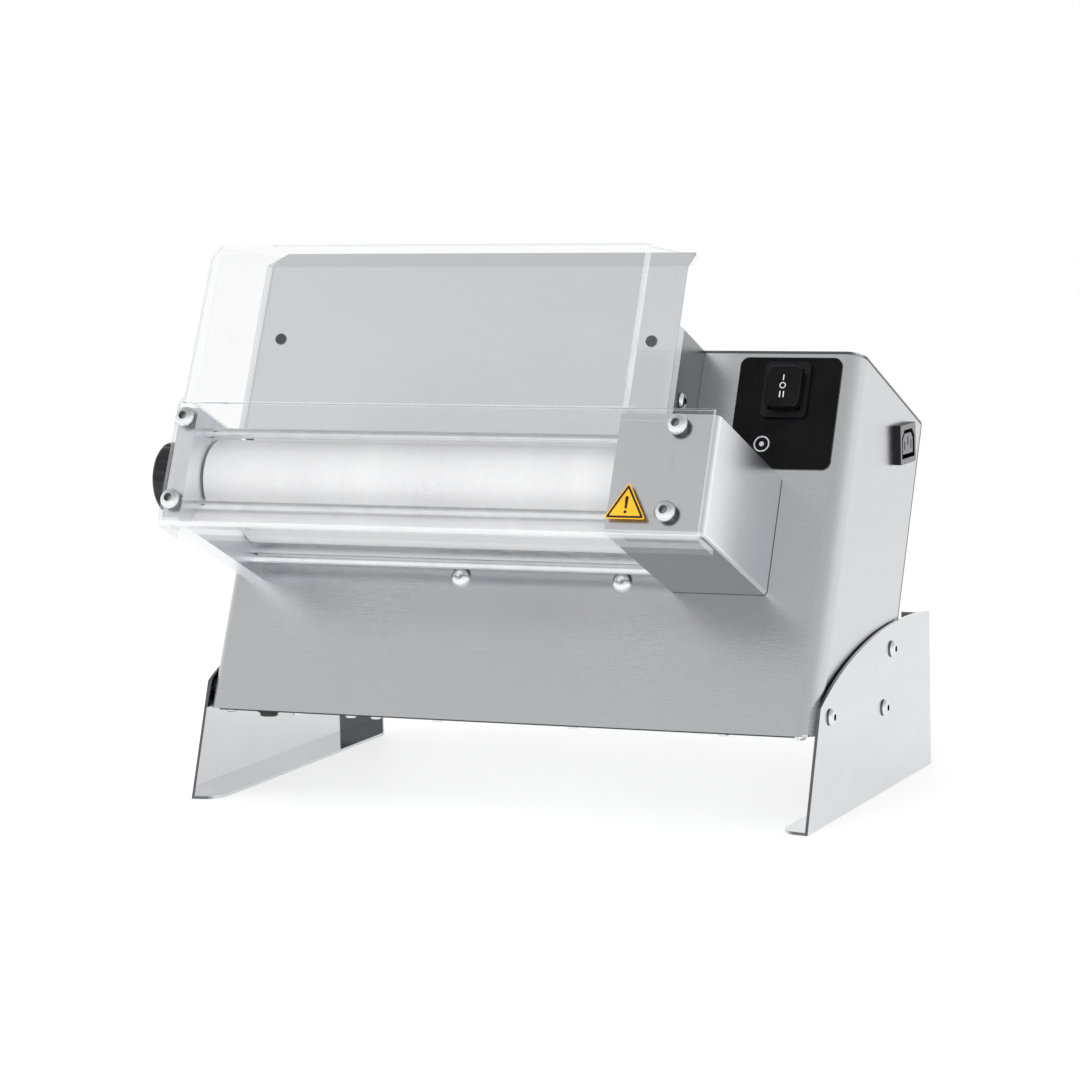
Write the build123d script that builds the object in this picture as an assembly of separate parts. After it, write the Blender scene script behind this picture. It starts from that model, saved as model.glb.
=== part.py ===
from build123d import *
import os
from math import sin, cos, tan, pi, radians, degrees, sqrt, acos, atan2

# Bench-top dough sheeter with one pair of rollers.
# Units are millimetres.  Row frame: +X right, +Y back, +Z up, Z = 0 is the bench,
# origin at the centre of the bounding box in plan.
# Most of the machine leans back.  Those pieces are drawn upright in the "lean frame"
# (x along the machine, w depth behind the front face, u up the front face) and are then
# leaned back and lifted on to the legs.

os.makedirs("parts", exist_ok=True)

# ---------------------------------------------------------------- driving dimensions
LEAN = 24.8            # backward lean of the body, degrees
FRONT_Y, FRONT_Z = 23.2, 59.65   # front-bottom edge of the body in the leg frame
BODY_W = 440.0         # body width
BODY_H = 265.3         # height of the front face, along the lean
BODY_D = 142.0         # depth of the body, square to the front face
SHEET = 1.5            # stainless sheet
CORNER_R = 12.0        # vertical front corner, right
CORNER_L = 5.0         # vertical front corner, left
FLOOR_TILT = 19.8      # angle of the body floor in the lean frame

LEG_T = 2.0            # leg sheet
LEG_GAP = 1.5          # washer between leg and body
LEG_FLANGE = 20.0

ROLL_R = 26.6          # roller radius
GEAR_M, GEAR_Z = 3.0, 18
CD = GEAR_M * GEAR_Z   # roller centre distance with the gap closed
DRIVE_Z = 22
U_ROLL = 139.4         # height of the roller axes on the front face
W_REAR = -28.8         # rear roller axis
W_FRONT = W_REAR - CD  # front roller axis, gap closed
ECC = 2.0              # throw of the eccentric shaft
ECC_HALF = 60.0        # half of the knob's travel, degrees
W_DRIVE, U_DRIVE = 29.4, 125.0   # drive gear axis, inside the body

FR_D = 127.5           # depth of the roller frames in front of the body
FR_U0, FR_U1 = 94.3, 174.9
LF_X0, LF_X1 = -210.6, -197.4    # left frame
RF_X0, RF_X1 = 143.0, 156.0      # right frame, inside the gear cover
GC_X0, GC_X1 = 108.5, 175.3      # gear cover
GEAR_X0, GEAR_X1 = 118.0, 130.0  # gear face

PLEX = 4.0             # clear guard sheet
GUARD_TOP = 290.5
SHOULDER = 177.6
HOP_W = -50.0          # back face of the hopper plate
ROD_R = 3.4
ROD1 = (-111.0, 162.5)  # (w, u)
ROD2 = (-110.8, 111.4)
ROD3 = (-20.5, 103.2)

# knob axis: the roller axis swings about it from closed to open
K_W = W_FRONT - ECC * sin(radians(ECC_HALF))
K_U = U_ROLL - ECC * cos(radians(ECC_HALF))

OX, OY = 4.6, -102.85    # centres the bounding box on the origin in plan

LEANF = Pos(OX, FRONT_Y + OY, FRONT_Z) * Rot(-LEAN, 0, 0)
WORLD = Pos(OX, OY, 0)
FLOORF = LEANF * Rot(FLOOR_TILT, 0, 0)    # frame of the sloping body floor

# ---------------------------------------------------------------- helpers
def box(x0, x1, w0, w1, u0, u1):
    return Pos((x0 + x1) / 2, (w0 + w1) / 2, (u0 + u1) / 2) * Box(abs(x1 - x0), abs(w1 - w0), abs(u1 - u0))

def cylx(r, x0, x1, w, u):
    return Pos((x0 + x1) / 2, w, u) * Rot(0, 90, 0) * Cylinder(r, abs(x1 - x0))

def cylw(r, x, w0, w1, u):
    return Pos(x, (w0 + w1) / 2, u) * Rot(90, 0, 0) * Cylinder(r, abs(w1 - w0))

def cylz(r, x, y, z0, z1):
    return Pos(x, y, (z0 + z1) / 2) * Cylinder(r, abs(z1 - z0))

def plate(points, x0, x1):
    """A flat plate square to X from (w, u) points."""
    f = make_face(Polyline(*[(a, b) for a, b in points], close=True))
    return Pos(x0, 0, 0) * (Plane(origin=(0, 0, 0), x_dir=(0, 1, 0), z_dir=(1, 0, 0)) * extrude(f, x1 - x0))

def sheet(points, w0, w1):
    """A flat plate square to the front face from (x, u) points."""
    f = make_face(Polyline(*[(a, b) for a, b in points], close=True))
    return Plane(origin=(0, w1, 0), x_dir=(1, 0, 0), z_dir=(0, -1, 0)) * extrude(f, w1 - w0)

def hexagon(af, h):
    return extrude(RegularPolygon(af / sqrt(3), 6), h)

def button(d, h, shank_d, length, af, socket=2.4):
    """Button-head screw along Z, underside of the head at z = 0, pointing down."""
    r = d / 2
    prof = make_face([
        Line((0, 0), (r, 0)), Line((r, 0), (r, 0.9)),
        ThreePointArc((r, 0.9), (r * 0.80, h * 0.72), (r * 0.42, h)),
        Line((r * 0.42, h), (0, h)), Line((0, h), (0, 0))])
    head = revolve(Plane.XZ * prof, Axis.Z)
    s = head + Pos(0, 0, -length / 2 + 0.2) * Cylinder(shank_d / 2, length + 0.4)
    return s - Pos(0, 0, h - socket) * hexagon(af, socket + 1)

def pan(d, h, shank_d, length):
    """Pan-head screw along Z with a cross recess, pointing down."""
    r = d / 2
    prof = make_face([
        Line((0, 0), (r, 0)), Line((r, 0), (r, h * 0.4)),
        ThreePointArc((r, h * 0.4), (r * 0.82, h * 0.85), (r * 0.4, h)),
        Line((r * 0.4, h), (0, h)), Line((0, h), (0, 0))])
    s = revolve(Plane.XZ * prof, Axis.Z) + Pos(0, 0, -length / 2 + 0.2) * Cylinder(shank_d / 2, length + 0.4)
    s -= Pos(0, 0, h) * Box(d * 0.55, d * 0.13, h * 0.9)
    s -= Pos(0, 0, h) * Box(d * 0.13, d * 0.55, h * 0.9)
    return s

def capscrew(d, h, shank_d, length, af):
    """Cylinder-head socket screw along Z, pointing down."""
    s = Pos(0, 0, h / 2) * Cylinder(d / 2, h) + Pos(0, 0, -length / 2 + 0.2) * Cylinder(shank_d / 2, length + 0.4)
    return s - Pos(0, 0, h - h * 0.5) * hexagon(af, h)

def toward_front(s, x, w, u):     # screw head faces -w
    return Pos(x, w, u) * Rot(90, 0, 0) * s

def toward_back(s, x, w, u):      # screw head faces +w
    return Pos(x, w, u) * Rot(-90, 0, 0) * s

def toward_right(s, x, w, u):     # screw head faces +X
    return Pos(x, w, u) * Rot(0, 90, 0) * s

def toward_left(s, x, w, u):
    return Pos(x, w, u) * Rot(0, -90, 0) * s

def solids_of(obj):
    out = []
    for s in (obj if isinstance(obj, (list, tuple)) else [obj]):
        out += list(s.solids())
    return out

def save(name, frame, *items):
    sol = []
    for it in items:
        for s in solids_of(it):
            sol.append(frame * s)
    shape = sol[0] if len(sol) == 1 else Compound(children=sol)
    shape.label = name
    export_step(shape, f"parts/{name}.step")

def rounded_rect_face(x0, x1, y0, y1, r):
    return Pos((x0 + x1) / 2, (y0 + y1) / 2) * RectangleRounded(x1 - x0, y1 - y0, r)

def inv(a):
    return tan(a) - a

def gear(z, m, width, add, ded, tooth_t, centre_deg):
    """Spur gear in the (w, u) plane with a tooth centred at centre_deg."""
    r = m * z / 2
    rb = r * cos(radians(20))
    ra, rr = r + add, r - ded
    base = tooth_t / (2 * r) + inv(radians(20))
    def half(rho):
        if rho <= rb:
            return base
        return base - inv(acos(rb / rho))
    pts = []
    for k in range(z):
        c = radians(centre_deg) + 2 * pi * k / z
        rads = [rr, max(rb, rr + 0.6), r - 0.3, r + add * 0.5, ra]
        for rho in rads:
            a = c - half(rho)
            pts.append((rho * cos(a), rho * sin(a)))
        for rho in reversed(rads):
            a = c + half(rho)
            pts.append((rho * cos(a), rho * sin(a)))
    f = make_face(Polyline(*pts, close=True))
    return Plane(origin=(0, 0, 0), x_dir=(0, 1, 0), z_dir=(1, 0, 0)) * extrude(f, width)

# material below the body floor, used to trim body sheets
floor_cut = Rot(FLOOR_TILT, 0, 0) * Pos(0, 100, -150) * Box(700, 700, 300)

# ---------------------------------------------------------------- body sheets
XW = BODY_W / 2
wall_top = 263.4
def plan(inset, depth):
    """Body outline in plan with its two front corners rounded."""
    f = make_face(Polyline((-XW + inset, inset), (XW - inset, inset), (XW - inset, depth), (-XW + inset, depth), close=True))
    front = f.vertices().group_by(Axis.Y)[0].sort_by(Axis.X)
    f = fillet([front[-1]], CORNER_R - inset)
    front = f.vertices().group_by(Axis.X)[0].sort_by(Axis.Y)
    return fillet([front[0]], CORNER_L - inset)
plan_out = plan(0.0, 170)
plan_in = plan(SHEET, 175)
wall = extrude(plan_out, wall_top + 80) - extrude(plan_in, wall_top + 80)
wall = Pos(0, 0, -80) * wall
wall -= box(-300, 300, BODY_D - 1.9, 200, -100, 300)
wall -= floor_cut
# inward flanges: rear edges, top front edge, and the floor flange in the floor frame
for s in (-1, 1):
    wall += box(s * (XW - 0.5), s * (XW - 14), BODY_D - 3.4, BODY_D - 1.9, 70, wall_top - 4)
wall += box(-XW + 16, XW - 16, 0.8, 11.5, wall_top - SHEET, wall_top)
wall += Rot(FLOOR_TILT, 0, 0) * box(-XW + 4.0, XW - 4.0, 1.0, 19.5, 0, SHEET)
# openings: drive gear slot, switch, frame bolts, motor bracket screws, hopper brackets
wall -= box(114.5, 133.5, -1, 3, 98, 154)
wall -= box(158.0, 184.0, -1, 3, 221, 252)
for x in (-202.8, 149.5):
    for u in (112.0, 158.0):
        wall -= cylw(4.3, x, -1, 3, u)
for x in (-45.5, 72.6):
    wall -= cylw(4.3, x, -1, 3, 100.3)
for x in (-192.0, 92.0):
    for u in (205.0, 250.0):
        wall -= cylw(2.6, x, -1, 3, u)
# holes for the leg screws and the outlet, given in the leg frame (Y, Z)
LEG_SCREWS = [(177.5, 94.7), (158.9, 57.2), (47.2, 69.2)]
def yz_to_wu(y, z):
    dy, dz = y - FRONT_Y, z - FRONT_Z
    c, s = cos(radians(LEAN)), sin(radians(LEAN))
    return dy * c - dz * s, dy * s + dz * c
for y, z in LEG_SCREWS:
    w, u = yz_to_wu(y, z)
    wall -= cylx(3.2, -230, 230, w, u)
OUT_Y, OUT_Z = 215.6, 231.4       # outlet centre
ow, ou = yz_to_wu(OUT_Y, OUT_Z)
wall -= Pos(XW, ow, ou) * Rot(LEAN, 0, 0) * Box(12, 31.6, 23.6)
# flange holes for the floor screws
FLOOR_SCREWS_X = [-208.0, -156.5, -116.0, -97.0, -50.5, 48.5, 155.0, 208.0]
for x in FLOOR_SCREWS_X:
    wall -= Rot(FLOOR_TILT, 0, 0) * cylz(2.2, x, 9.0, -3, 4)
wall -= Rot(FLOOR_TILT, 0, 0) * cylz(6.3, -180.0, 11.6, -3, 4)
for s in (-1, 1):
    for u in (90, 150, 206):
        wall -= cylw(2.2, s * 211.5, BODY_D - 5, BODY_D, u)
save("front_shell", LEANF, wall)

# top and rear cover, one bent sheet laid over the walls
top = extrude(plan(0.0, 180), SHEET)
top = Pos(0, 0, BODY_H - SHEET) * top - box(-300, 300, BODY_D - 6, 300, 200, 300)
top += box(-XW, XW, BODY_D - 6, BODY_D, BODY_H - SHEET, BODY_H)
rear = box(-XW, XW, BODY_D - SHEET, BODY_D, 20, BODY_H) - floor_cut
cover = top + rear
outer_edge = cover.edges().filter_by(Axis.X).sort_by(lambda e: -(e.center().Y + e.center().Z))[0]
cover = fillet(outer_edge, 2.4)
for s in (-1, 1):
    for u in (90, 150, 206):
        cover -= cylw(2.2, s * 211.5, BODY_D - 5, BODY_D + 5, u)
for i in range(12):                    # cooling slots over the motor
    cover -= box(-66 + i * 12 - 2.0, -66 + i * 12 + 2.0, BODY_D - 5, BODY_D + 5, 176, 214)
save("rear_cover", LEANF, cover)
scr = []
for s in (-1, 1):
    for u in (90, 150, 206):
        scr.append(toward_back(pan(8.0, 2.8, 4.0, 9.0), s * 211.5, BODY_D, u))
save("cover_screws", LEANF, scr)

floorp = box(-XW + 1.9, XW - 1.9, 3.4, 148.6, SHEET, 2 * SHEET)
fz = floorp.edges().filter_by(Axis.Z).group_by(Axis.Y)[0].sort_by(Axis.X)
floorp = fillet([fz[-1]], 13.0)
fz = floorp.edges().filter_by(Axis.Z).group_by(Axis.X)[0].sort_by(Axis.Y)
floorp = fillet([fz[0]], 6.0)
floorp = Rot(FLOOR_TILT, 0, 0) * floorp
for x in FLOOR_SCREWS_X:
    floorp -= Rot(FLOOR_TILT, 0, 0) * cylz(2.05, x, 9.0, -3, 6)
floorp -= Rot(FLOOR_TILT, 0, 0) * cylz(6.3, -180.0, 11.6, -3, 6)
save("bottom_plate", LEANF, floorp)
seal = Rot(FLOOR_TILT, 0, 0) * box(-XW + 7.0, XW - 14.0, 1.2, 3.6, -1.0, 0.0)
save("front_seal", LEANF, seal)
scr = [Rot(FLOOR_TILT, 0, 0) * Pos(x, 9.0, 0) * Rot(180, 0, 0) * pan(8.2, 3.0, 4.0, 8.0) for x in FLOOR_SCREWS_X]
save("bottom_screws", LEANF, scr)
g = Cylinder(7.6, 2.2) + Pos(0, 0, -2.4) * Cylinder(6.2, 3.0) + Pos(0, 0, 5.1) * Cylinder(6.15, 9.0) + Pos(0, 0, 6.1) * Cylinder(7.0, 3.6)
g = fillet(g.edges().filter_by(GeomType.CIRCLE).sort_by(Axis.Z)[0], 1.5)
g -= Cylinder(3.4, 60)
save("cable_gland", LEANF, Rot(FLOOR_TILT, 0, 0) * Pos(-180.0, 11.6, -1.1) * g)

# ---------------------------------------------------------------- legs
LY1 = 264.0
leg_pts = [(-1.0, 0.0), (28.6, 77.8)]
arc = Spline([(28.6, 77.8), (73.7, 95.0), (113.5, 104.2), (150.5, 109.5), (188.4, 111.8), (225.0, 111.6), (LY1, 108.8)])
legf = make_face([Line((-1.0, 0.0), (28.6, 77.8)), arc, Line((LY1, 108.8), (LY1, 0.0)), Line((LY1, 0.0), (-1.0, 0.0))])
YZ = Plane(origin=(0, 0, 0), x_dir=(0, 1, 0), z_dir=(1, 0, 0))
lx0 = XW + LEG_GAP
def make_leg():
    web = Pos(lx0, 0, 0) * (YZ * extrude(legf, LEG_T))
    foot = make_face([Line((lx0 + 0.5, -1.0), (lx0 - 8, 0.6)), ThreePointArc((lx0 - 8, 0.6), (lx0 + LEG_T - LEG_FLANGE + 2.6, 6.0), (lx0 + LEG_T - LEG_FLANGE, 16.0)),
                      Line((lx0 + LEG_T - LEG_FLANGE, 16.0), (lx0 + LEG_T - LEG_FLANGE, LY1)), Line((lx0 + LEG_T - LEG_FLANGE, LY1), (lx0 + 0.5, LY1)), Line((lx0 + 0.5, LY1), (lx0 + 0.5, -1.0))])
    foot = extrude(foot, LEG_T)
    back = box(lx0 + LEG_T - LEG_FLANGE, lx0 + 0.5, LY1 - LEG_T, LY1, 1.0, 107.5)
    leg = web + foot + back
    for y, z in LEG_SCREWS:
        leg -= cylx(3.2, lx0 - 5, lx0 + 5, y, z)
    return leg
right_leg = make_leg()
save("right_leg", WORLD, right_leg)
save("left_leg", WORLD, mirror(right_leg, Plane.YZ))
scr, nuts, spac = [], [], []
for y, z in LEG_SCREWS:
    for s in (-1, 1):
        f = toward_right if s > 0 else toward_left
        scr.append(f(button(11.4, 3.3, 5.9, 12.5, 4.0, 1.9), s * (lx0 + LEG_T), y, z))
        n = Rot(0, 90, 0) * (hexagon(10.0, 5.0) - Cylinder(3.0, 30))
        nuts.append(Pos((XW - SHEET - 5.0) if s > 0 else -(XW - SHEET), y, z) * n)
        spac.append(cylx(8.0, s * XW, s * lx0, y, z) - cylx(3.1, s * 200, s * 240, y, z))
save("leg_screws", WORLD, scr)
save("leg_nuts", WORLD, nuts)
save("leg_spacers", WORLD, spac)

# ---------------------------------------------------------------- roller frames and gear cover
W_OPEN = K_W - ECC * sin(radians(ECC_HALF))
def blade(root, centre, gap, thick, grow=0.0):
    """Profile of a scraper from its root (w, u), pointing at a roller centre."""
    dw, du = centre[0] - root[0], centre[1] - root[1]
    d = sqrt(dw * dw + du * du)
    dw, du = dw / d, du / d
    a, b = -grow, d - ROLL_R - gap + grow
    nw, nu = -du * (thick / 2 + grow), dw * (thick / 2 + grow)
    r = (root[0] + dw * a, root[1] + du * a)
    t = (root[0] + dw * b, root[1] + du * b)
    return [(r[0] + nw, r[1] + nu), (r[0] - nw, r[1] - nu), (t[0] - nw, t[1] - nu), (t[0] + nw, t[1] + nu)]
FS = ((-111.2, 98.0), (W_OPEN, U_ROLL), 0.9, 2.4)
RS = ((-5.4, 106.8), (W_REAR, U_ROLL), 0.8, 2.0)

lf = box(LF_X0, LF_X1, -FR_D, 0, FR_U0, FR_U1)
low = [e for e in lf.edges().filter_by(Axis.X) if e.center().Y < -FR_D + 1 and e.center().Z < FR_U0 + 1]
lf = fillet(low, 3.0)
lf = chamfer(lf.edges().filter_by(Axis.X).group_by(Axis.Z)[-1], 1.0)
lf -= cylx(10.0, -300, 0, K_W, K_U)
lf -= cylx(16.0, LF_X0 + 3, 0, W_REAR, U_ROLL)
lf -= cylx(9.0, -300, 0, W_REAR, U_ROLL)
for (w, u) in (ROD1, ROD2, ROD3):
    lf -= cylx(ROD_R + 0.05, LF_X0 + 4, 0, w, u)
lf -= plate(blade(*FS, 0.1), LF_X1 - 1.7, LF_X1 + 1)
lf -= plate(blade(*RS, 0.1), LF_X1 - 1.7, LF_X1 + 1)
for u in (108.6, 166.6):
    lf -= cylw(3.4, -204.0, -FR_D - 1, -FR_D + 12.5, u)
for u in (112.0, 158.0):
    lf -= cylw(3.4, -202.8, -16, 1, u)
save("left_frame", LEANF, lf)

rf = box(RF_X0, RF_X1, -FR_D + SHEET, 0, FR_U0 + 2.2, FR_U1 - 2.2)
rf -= cylx(9.0, 0, 300, K_W, K_U)
rf -= cylx(16.0, 0, RF_X1 - 3, W_REAR, U_ROLL)
rf -= cylx(9.0, 0, 300, W_REAR, U_ROLL)
for (w, u) in (ROD1, ROD2, ROD3):
    rf -= cylx(ROD_R + 0.05, 0, RF_X1 - 4, w, u)
for u in (108.6, 166.6):
    rf -= cylw(3.4, 149.5, -FR_D - 1, -FR_D + 12.5, u)
for u in (112.0, 158.0):
    rf -= cylw(3.4, 149.5, -16, 1, u)
save("right_frame", LEANF, rf)

scr = []
for x in (-202.8, 149.5):
    for u in (112.0, 158.0):
        scr.append(toward_back(capscrew(11.0, 7.0, 6.7, 14.0, 6.0), x, SHEET, u))
save("frame_bolts", LEANF, scr)

# gear cover: a folded sheet box, open at the back, with a rounded right edge
gc = box(GC_X0, GC_X1, -FR_D, -0.8, FR_U0, FR_U1)
gc = fillet(gc.edges().filter_by(Axis.Z).sort_by(lambda e: e.center().Y - e.center().X)[0], 5.0)
low_front = [e for e in gc.edges().filter_by(Axis.X) if e.center().Y < -FR_D + 1 and e.center().Z < FR_U0 + 1]
gc = fillet(low_front, 3.0)
gc -= box(GC_X0 + SHEET, GC_X1 - SHEET, -FR_D + SHEET, 5, FR_U0 + SHEET, FR_U1 - SHEET)
slot = extrude(make_face([
    Line((W_FRONT - ECC * 1.74, U_ROLL - 28.3), (5, U_ROLL - 28.3)), Line((5, U_ROLL - 28.3), (5, U_ROLL + 28.6)),
    Line((5, U_ROLL + 28.6), (W_FRONT - ECC * 1.74, U_ROLL + 28.6)),
    ThreePointArc((W_FRONT - ECC * 1.74, U_ROLL + 28.6), (W_FRONT - ECC * 1.74 - 28.4, U_ROLL + 0.15), (W_FRONT - ECC * 1.74, U_ROLL - 28.3))]), 6)
gc -= Pos(GC_X0 - 2, 0, 0) * (YZ * slot)
for (w, u) in (ROD1, ROD2, ROD3):
    gc -= cylx(ROD_R + 0.25, GC_X0 - 3, GC_X0 + 3, w, u)
for u in (108.6, 166.6):
    gc -= cylw(4.3, 149.5, -FR_D - 2, -FR_D + 3, u)
gc -= plate(blade(*FS, 0.1), GC_X0 - 1, GC_X0 + SHEET + 0.5)
gc -= plate(blade(*RS, 0.1), GC_X0 - 1, GC_X0 + SHEET + 0.5)
save("gear_cover", LEANF, gc)

# tie rods
save("upper_tie_rod", LEANF, cylx(ROD_R, LF_X0 + 5, RF_X1 - 5, *ROD1))
save("lower_tie_rod", LEANF, cylx(ROD_R, LF_X0 + 5, RF_X1 - 5, *ROD2))
save("rear_tie_rod", LEANF, cylx(ROD_R, LF_X0 + 5, RF_X1 - 5, *ROD3))

# scrapers: blades whose ends sit in slots of the left frame and the gear cover
save("front_scraper", LEANF, plate(blade(*FS), LF_X1 - 1.5, GC_X0 + SHEET + 0.6))
save("rear_scraper", LEANF, plate(blade(*RS), LF_X1 - 1.5, GC_X0 + SHEET + 0.6))

# ---------------------------------------------------------------- rollers
RX0, RX1 = -196.2, GEAR_X0
rear_roll = cylx(ROLL_R, RX0, RX1, W_REAR, U_ROLL) - cylx(10.0, -300, 300, W_REAR, U_ROLL)
rear_roll = chamfer(rear_roll.edges().filter_by(GeomType.CIRCLE).filter_by(lambda e: e.radius > 20), 0.8)
save("rear_roller", LEANF, rear_roll)
rsh = cylx(10.0, RX0, 141.5, W_REAR, U_ROLL) + cylx(8.0, LF_X0 + 1.0, RF_X1 - 1.0, W_REAR, U_ROLL)
save("rear_roller_shaft", LEANF, rsh)
T_PITCH = 3.95
g1 = gear(GEAR_Z, GEAR_M, GEAR_X1 - GEAR_X0, 2.6, 3.6, T_PITCH, 0.0)
g1 = Pos(GEAR_X0, W_REAR, U_ROLL) * g1 - cylx(10.0, 0, 300, W_REAR, U_ROLL)
save("rear_gear", LEANF, g1)
brg = [cylx(15.98, LF_X0 + 3.2, LF_X1, W_REAR, U_ROLL) - cylx(8.05, -300, 300, W_REAR, U_ROLL),
       cylx(15.98, RF_X0, RF_X1 - 3.2, W_REAR, U_ROLL) - cylx(8.05, -300, 300, W_REAR, U_ROLL)]
save("rear_bearings", LEANF, brg)

front_roll = cylx(ROLL_R, RX0, RX1, W_FRONT, U_ROLL) - cylx(14.0, -300, 300, W_FRONT, U_ROLL)
front_roll = chamfer(front_roll.edges().filter_by(GeomType.CIRCLE).filter_by(lambda e: e.radius > 20), 0.8)
save("front_roller", LEANF, front_roll)
g2 = gear(GEAR_Z, GEAR_M, GEAR_X1 - GEAR_X0, 2.6, 3.6, T_PITCH, 10.0)
g2 = Pos(GEAR_X0, W_FRONT, U_ROLL) * g2 - cylx(14.0, 0, 300, W_FRONT, U_ROLL)
save("front_gear", LEANF, g2)
bush = [cylx(13.95, RX0 + 0.3, RX0 + 26, W_FRONT, U_ROLL) - cylx(10.05, -300, 300, W_FRONT, U_ROLL),
        cylx(13.95, 100.0, GEAR_X1 - 0.3, W_FRONT, U_ROLL) - cylx(10.05, -300, 300, W_FRONT, U_ROLL)]
save("roller_bushes", LEANF, bush)
# eccentric shaft: end journals on the knob axis, middle on the roller axis
esh = cylx(10.0, RX0 + 0.3, 141.5, W_FRONT, U_ROLL) + cylx(7.0, -226.0, RX0 + 2, K_W, K_U) + cylx(7.0, 140, RF_X1 - 1.0, K_W, K_U)
save("eccentric_shaft", LEANF, esh)
fb = [cylx(9.98, LF_X0, LF_X1, K_W, K_U) - cylx(7.05, -300, 300, K_W, K_U) + (cylx(13.0, LF_X0 - 1.6, LF_X0, K_W, K_U) - cylx(7.05, -300, 300, K_W, K_U)),
      cylx(8.98, RF_X0, RF_X1, K_W, K_U) - cylx(7.05, -300, 300, K_W, K_U)]
save("frame_bushes", LEANF, fb)

# thickness knob, round with shallow flutes
KX0, KX1 = -236.0, -213.2
kn = Cylinder(24.8, KX1 - KX0)
kn = fillet(kn.edges().group_by(Axis.Z)[-1], 4.0)
kn = fillet(kn.edges().group_by(Axis.Z)[0], 1.2)
for i in range(12):
    a = radians(15 + 30 * i)
    kn -= Pos(31.2 * cos(a), 31.2 * sin(a), 0) * Cylinder(7.3, 60)
kn += Pos(0, 0, -(KX1 - KX0) / 2 - 0.4) * Cylinder(11.0, 0.9)
kn -= Pos(0, 0, 9.0) * Cylinder(5.6, 20)
knob = Pos((KX0 + KX1) / 2, K_W, K_U) * Rot(0, -90, 0) * kn
knob -= cylx(7.0, -226.0, 0, K_W, K_U)
knob -= cylx(2.4, -250, 0, K_W, K_U)
save("thickness_knob", LEANF, knob)
ks = toward_left(capscrew(8.4, 4.6, 4.6, 3.8, 4.0), 0, 0, 0)
save("knob_screw", LEANF, Pos(-230.0, K_W, K_U) * ks)

# ---------------------------------------------------------------- drive inside the body
beta = atan2(U_DRIVE - U_ROLL, W_DRIVE - W_REAR)
tooth = radians(-20.0)
psi = degrees(beta + pi - (GEAR_Z / DRIVE_Z) * (tooth - beta))
g3 = gear(DRIVE_Z, GEAR_M, GEAR_X1 - GEAR_X0, 2.6, 3.6, T_PITCH, psi + 180.0 / DRIVE_Z)
g3 = Pos(GEAR_X0, W_DRIVE, U_DRIVE) * g3 + cylx(14.0, GEAR_X1 - 0.2, 138.0, W_DRIVE, U_DRIVE) - cylx(7.0, 0, 300, W_DRIVE, U_DRIVE)
save("drive_gear", LEANF, g3)
save("drive_shaft", LEANF, cylx(7.0, 88.0, 138.0, W_DRIVE, U_DRIVE))
gb = box(28, 100, 9, 89, 84, 166)
gb = fillet(gb.edges().filter_by(Axis.X), 6)
gb = gb + cylx(17, 100, 103.6, W_DRIVE, U_DRIVE) - cylx(7.08, 86, 300, W_DRIVE, U_DRIVE)
for (w, u) in ((18, 156), (79, 156), (79, 94)):
    gb -= cylx(2.55, 88, 101, w, u)
save("gearbox", LEANF, gb)
mo = cylx(42, -72, 28, 52, 125)
for i in range(16):
    mo -= Pos(-24, 52, 125) * Rot(i * 22.5, 0, 0) * Pos(0, 0, 42) * Box(72, 3.0, 5.0)
save("motor", LEANF, mo)
cowl = cylx(42, -98, -72, 52, 125) - cylx(39.5, -96, -71, 52, 125)
cowl -= cylx(14, -99, -95, 52, 125)
save("motor_fan_cowl", LEANF, cowl)
# motor bracket: foot on the front panel with a flange round the gearbox nose
br = box(-64, 106, SHEET, 7.5, 87, 113) + box(100, 106, SHEET, 82, 87, 163)
br -= cylx(17.5, 90, 110, W_DRIVE, U_DRIVE)
for x in (-45.5, 72.6):
    br -= cylw(3.4, x, 0, 9, 100.3)
for (w, u) in ((18, 156), (79, 156), (79, 94)):
    br -= cylx(2.6, 98, 108, w, u)
save("motor_bracket", LEANF, br)
save("gearbox_screws", LEANF, [toward_right(capscrew(8.5, 5.0, 5.0, 16.0, 4.0), 106, w, u) for (w, u) in ((18, 156), (79, 156), (79, 94))])
save("bracket_screws", LEANF, [toward_front(button(14.0, 4.4, 6.7, 7.0, 5.0, 2.6), x, 0, 100.3) for x in (-45.5, 72.6)])

cap = cylx(17.5, -200, -136, 96, 190)
cap = fillet(cap.edges().filter_by(GeomType.CIRCLE), 2) + cylx(3, -136.5, -132, 90, 190) + cylx(3, -136.5, -132, 102, 190)
save("run_capacitor", LEANF, cap)
clip = cylx(19.0, -176, -160, 96, 190) - cylx(17.5, -300, 0, 96, 190)
clip -= box(-180, -150, 70, 92, 180, 230)
clip += box(-176, -160, 112.0, BODY_D - SHEET - 0.1, 188, 191) - cylx(17.5, -300, 0, 96, 190)
save("capacitor_clip", LEANF, clip)
FT = Rot(FLOOR_TILT, 0, 0)
tb = FT * (box(-190, -140, 60, 78, 3.0, 17.0))
for i in range(5):
    tb -= FT * cylz(2.6, -181 + i * 10, 65, 9, 20)
    tb -= FT * cylz(2.6, -181 + i * 10, 73, 9, 20)
save("terminal_block", LEANF, tb)

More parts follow.
